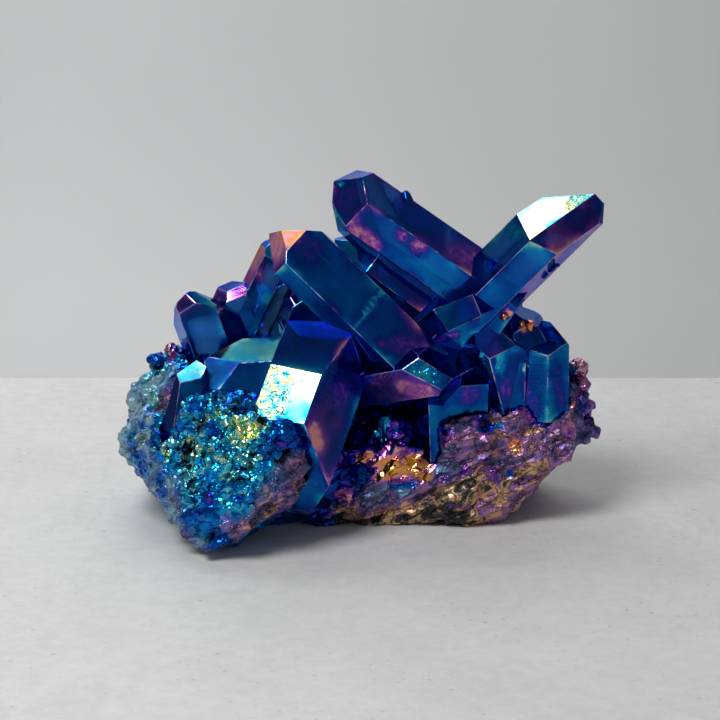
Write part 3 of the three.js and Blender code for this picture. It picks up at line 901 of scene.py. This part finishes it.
given = sow_node("NodeGroupInput", {}, {})
where = sow_node(
    "GeometryNodeInputNamedAttribute", {"data_type": "FLOAT"}, {"Name": "crusted_near"}
)
values = {"Mesh": (given, 0), "Density Factor": (where, 0), "Seed": 4}
values |= {"Distance Min": STUB_SPACING, "Density Max": STUBS_PER_AREA}
strew = sow_node(
    "GeometryNodeDistributePointsOnFaces", {"distribute_method": "POISSON"}, values
)
most = (STUB_LEAN, STUB_LEAN, STUB_TURN)
least = tuple(-angle for angle in most)
by_chance = {"data_type": "FLOAT_VECTOR"}
tilt = sow_node("FunctionNodeRandomValue", by_chance, {0: least, 1: most, "Seed": 2})
turn = sow_node("FunctionNodeEulerToRotation", {}, {0: (tilt, 0)})
values = {0: (strew, "Rotation"), 1: (turn, 0)}
stand = sow_node("FunctionNodeRotateRotation", {"rotation_space": "LOCAL"}, values)
values = {0: SMALLEST_STUB, 1: LARGEST_STUB, "Seed": 5}
size = sow_node("FunctionNodeRandomValue", by_chance, values)
pattern = sow_node("GeometryNodeObjectInfo", {}, {"Object": stub})
values = {"Points": (strew, 0), "Instance": (pattern, "Geometry")}
values |= {"Rotation": (stand, 0), "Scale": (size, 0)}
put = sow_node("GeometryNodeInstanceOnPoints", {}, values)
solid = sow_node("GeometryNodeRealizeInstances", {}, {0: (put, 0)})
sow_node("NodeGroupOutput", {}, {0: (solid, 0)})
take_up(druse)
finish_with(druse, "NODES", node_group=tree)
bpy.data.objects.remove(stub)
# Neighbouring stubs fuse, as grown ones do.
finish_with(druse, "REMESH", mode="VOXEL", voxel_size=CRUST_GRAIN)
finish_with(druse, "DECIMATE", ratio=CRUST_FACES_KEPT)
drop_crumbs(druse, LEAST_CRUMB)
mark_rock(druse)
druse.data.materials.clear()
druse.data.materials.append(crust)
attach(druse, "root")

# ------------------------------------------------------------------ small points
# The last growth of quartz: single little points and rounded knobs, a few
# millimetres each, that grew on the big points and on the rock. They went
# through the coating with the rest.
SMALL = [  # where, width, height, tilts about x and y, film thickness
    ((9.9, -0.2, 64.9), 2.6, 2.6, 10, -25, 0.50),
    ((38.4, -7.4, 52.6), 1.2, 1.6, 50, 50, 0.47),
    ((39.1, -7.9, 53.5), 0.9, 1.8, 40, 75, 0.45),
    ((37.2, -7.1, 51.2), 0.9, 1.3, 30, 40, 0.50),
    ((29.0, -9.9, 43.4), 2.0, 1.0, 70, -20, 0.12),
    ((32.6, -7.3, 41.3), 1.6, 1.4, 80, 25, 0.06),
    ((34.4, -7.0, 40.8), 2.6, 1.0, 65, -20, 0.09),
    ((24.6, -11.6, 36.0), 1.8, 1.8, 60, -30, 0.76),
    ((39.8, -9.3, 18.6), 1.6, 1.4, 60, 20, 0.04),
    ((5.3, -10.0, 19.6), 3.0, 4.6, 12, -6, 0.76),
    ((3.9, -10.4, 18.4), 1.8, 2.6, 30, -30, 0.80),
    ((6.9, -10.2, 18.2), 1.6, 2.2, 20, 35, 0.82),
]
KNOBS = [  # where, width, height, film thickness
    ((-14.6, -29.6, 25.3), 5.0, 5.4, 0.56),
    ((0.2, -12.9, 11.4), 4.8, 4.2, 0.50),
    ((45.0, 0.2, 30.2), 4.0, 3.8, 0.14),
    ((45.9, -0.6, 26.6), 3.4, 3.4, 0.20),
    ((45.4, -3.0, 23.4), 3.0, 3.2, 0.45),
    ((-38.6, 1.2, 33.6), 3.2, 3.0, 0.16),
    ((-42.0, 1.2, 31.6), 3.4, 2.6, 0.56),
]
POINT_COVER, KNOB_COVER = 1.2, 0.75
TIP_SHIFT, TIP_HEIGHT = 0.1, 0.4  # in widths of the point
POINT_WEAR = 0.06 * MM
KNOB_LUMP_SIZE, KNOB_LUMP_DEPTH = 1.3 * MM, 1.1 * MM


def finish_small(thick, share):
    """Settles the new shape in its place and keeps its film and cover on it."""
    new = bpy.context.object
    bpy.ops.object.transform_apply(location=True, rotation=True, scale=True)
    for name, value in (("film", thick), ("cover", share)):
        for item in new.data.attributes.new(name, "FLOAT", "FACE").data:
            item.value = value
    return new


small = []
for spot, width, height, tilt_x, tilt_y, thick in SMALL:
    bpy.ops.mesh.primitive_cylinder_add(vertices=6, radius=width / 2 * MM, depth=height * MM)
    point = bpy.context.object
    bpy.ops.object.mode_set(mode="EDIT")
    bpy.ops.mesh.select_all(action="DESELECT")
    shape = bmesh.from_edit_mesh(point.data)
    for face in shape.faces:
        face.select = face.normal.z > 0.9
    lift = (TIP_SHIFT * width * MM, 0, TIP_HEIGHT * width * MM)
    bpy.ops.mesh.extrude_region_move(TRANSFORM_OT_translate={"value": lift})
    bpy.ops.transform.resize(value=(0.45, 0.3, 1))
    bpy.ops.mesh.select_all(action="SELECT")
    bpy.ops.mesh.bevel(offset=POINT_WEAR, segments=1, clamp_overlap=True)
    bpy.ops.object.mode_set(mode="OBJECT")
    point.rotation_euler = (math.radians(tilt_x), math.radians(tilt_y), 0)
    point.location = Vector(spot) * MM
    small.append(finish_small(thick, POINT_COVER))
for spot, width, height, thick in KNOBS:
    bpy.ops.mesh.primitive_ico_sphere_add(subdivisions=4, radius=0.5 * MM)
    knob = bpy.context.object
    knob.scale = (width, width, height)
    knob.location = Vector(spot) * MM
    small.append(finish_small(thick, KNOB_COVER))
    roughen(knob, "CLOUDS", KNOB_LUMP_SIZE, KNOB_LUMP_DEPTH)
bpy.ops.object.select_all(action="DESELECT")
for piece in small:
    piece.select_set(True)
bpy.context.view_layer.objects.active = small[0]
bpy.ops.object.join()
bpy.context.scene.cursor.location = (0, 0, 0)
bpy.ops.object.origin_set(type="ORIGIN_CURSOR")
small_points = bpy.context.object
small_points.name = "small_points"
small_points.data.materials.clear()
small_points.data.materials.append(skin)
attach(small_points, "root")

# ------------------------------------------------------------------ stage
# The cluster stands on a pale cast slab whose far edge is close behind it.
# A matt wall stands well beyond the edge, and a ground of the same stuff as
# the slab lies below.
# Sizes and places in metres.
SLAB = Vector((4.0, 2.0, 0.06))
SLAB_EDGE = 101 * MM  # behind the cluster's middle
SHEET = 6  # the width of the wall and of the ground
WALL_BACK, GROUND_DOWN = 1.6, 0.5

middle = (0, SLAB_EDGE - SLAB.y / 2, -SLAB.z / 2)
bpy.ops.mesh.primitive_cube_add(size=1, location=middle)
slab = bpy.context.object
slab.name = "slab"
slab.scale = SLAB
bpy.ops.object.transform_apply(location=True, rotation=True, scale=True)
upright = (math.pi / 2, 0, 0)
bpy.ops.mesh.primitive_plane_add(size=SHEET, location=(0, WALL_BACK, 0), rotation=upright)
backdrop = bpy.context.object
backdrop.name = "backdrop"
bpy.ops.object.transform_apply(location=True, rotation=True, scale=True)
bpy.ops.mesh.primitive_plane_add(size=SHEET, location=(0, 0, -GROUND_DOWN))
ground = bpy.context.object
ground.name = "ground"
bpy.ops.object.transform_apply(location=True, rotation=True, scale=True)

PALE, PALER = (0.58, 0.58, 0.57, 1), (0.67, 0.665, 0.655, 1)
# Specks in the slab, and a dark grey painted over it as shade.
SPECK, SLAB_SHADE = (0.30, 0.27, 0.22, 1), (0.05, 0.05, 0.05, 1)
concrete, w = new_material("pale_slab")
place = in_mm(w)
mottle = noise(place, 30, 6.0, 0.7) * 0.5 + noise(place, 3, 5.0, 0.7) * 0.5
specks = fade(noise(place, 1.6, 2.0), 0.66, 0.72) * fade(noise(place, 25, 2.0), 0.4, 0.6)
tone = blend(fade(mottle, 0.35, 0.65), PALE, PALER)
tone = blend(specks * 0.45, tone, SPECK)
# Painted shade: it darkens a little to the right and toward the front.
tone = blend(fade(along(place, "X"), -150, 150) * 0.16, tone, SLAB_SHADE)
tone = blend(fade(along(place, "Y"), -60, -330) * 0.14, tone, SLAB_SHADE)
values = {"Base Color": tone, "Roughness": 0.7}
values["Normal"] = bump(w, mottle + specks, 0.3 * MM, 0.3)
w.node("OutputMaterial", {}, {"Surface": w.node("BsdfPrincipled", {}, values)})
slab.data.materials.append(concrete)

WALL, WALL_LIGHT = (0.75, 0.755, 0.76, 1), (0.79, 0.795, 0.80, 1)
# A dark grey painted over the wall as shade.
WALL_SHADE = (0.1, 0.1, 0.1, 1)
wall, w = new_material("pale_wall")
place = in_mm(w)
tone = blend(fade(noise(place, 300, 3.0), 0.3, 0.7), WALL, WALL_LIGHT)
# Painted shade: it darkens to the right and upward.
tone = blend(fade(along(place, "X"), -340, 480) * 0.34, tone, WALL_SHADE)
tone = blend(fade(along(place, "Z"), -450, 0) * 0.30, tone, WALL_SHADE)
values = {"Base Color": tone, "Roughness": 0.9}
w.node("OutputMaterial", {}, {"Surface": w.node("BsdfPrincipled", {}, values)})
backdrop.data.materials.append(wall)
ground.data.materials.append(concrete)

# ------------------------------------------------------------------ light
# One soft lamp high at the front left gives the highlights, a weaker one the
# glints from behind, and a wide one overhead the sheen of the upper faces. A
# wash lights the wall, and a weak grey sky fills the rest.
MIDDLE = Vector((0, 0, 32 * MM))  # what the softboxes shine at
WASH_PLACE, WASH_TURN = (0, 0.75, 1.3), (math.radians(60), 0, 0)
SKY, SKY_STRENGTH = (0.55, 0.56, 0.58, 1), 0.44


def hang_lamp(name, place, turn, width, power):
    """Hangs a square lamp, which shines straight down until it is turned."""
    light = bpy.data.lights.new(name, "AREA")
    light.size = width
    light.energy = power
    lamp = bpy.data.objects.new(name, light)
    lamp.location = place
    lamp.rotation_euler = turn
    bpy.context.scene.collection.objects.link(lamp)


def softbox(name, toward, distance, width, power):
    """Hangs a lamp out from the cluster's middle, shining back at it."""
    way = Vector(toward).normalized()
    turn = way.to_track_quat("Z", "Y").to_euler()
    hang_lamp(name, MIDDLE + way * distance, turn, width, power)


# Each lamp's direction, distance and width in metres, and power in watts.
softbox("key", (-0.38, -0.48, 0.79), 0.6, 0.25, 2.6)
softbox("back_left", (-0.31, 0.39, 0.87), 0.6, 0.2, 0.5)
softbox("overhead", (-0.05, 0.6, 0.8), 1.3, 1.0, 1.6)
hang_lamp("wash", WASH_PLACE, WASH_TURN, 1.5, 30)
world = bpy.data.worlds.new("studio")
world.use_nodes = True
sky = world.node_tree.nodes["Background"].inputs
sky["Color"].default_value = SKY
sky["Strength"].default_value = SKY_STRENGTH
bpy.context.scene.world = world

# ------------------------------------------------------------------ camera
# The eye looks from straight in front and a little above, aimed at the
# cluster's middle through a long lens, so what is farther away looks only a
# little smaller.
DISTANCE = 450 * MM
RISE = math.radians(15)
AIM = Vector((0.2, 0, 31.8)) * MM
SENSOR, LENS = 36, 109.35  # both in mm

view = bpy.data.cameras.new("camera")
view.sensor_width = SENSOR
view.lens = LENS
camera = bpy.data.objects.new("camera", view)
way = Vector((0, -math.cos(RISE), math.sin(RISE)))
camera.location = AIM + way * DISTANCE
camera.rotation_euler = way.to_track_quat("Z", "Y").to_euler()
bpy.context.scene.collection.objects.link(camera)
bpy.context.scene.camera = camera
bpy.context.scene.view_settings.view_transform = "Standard"
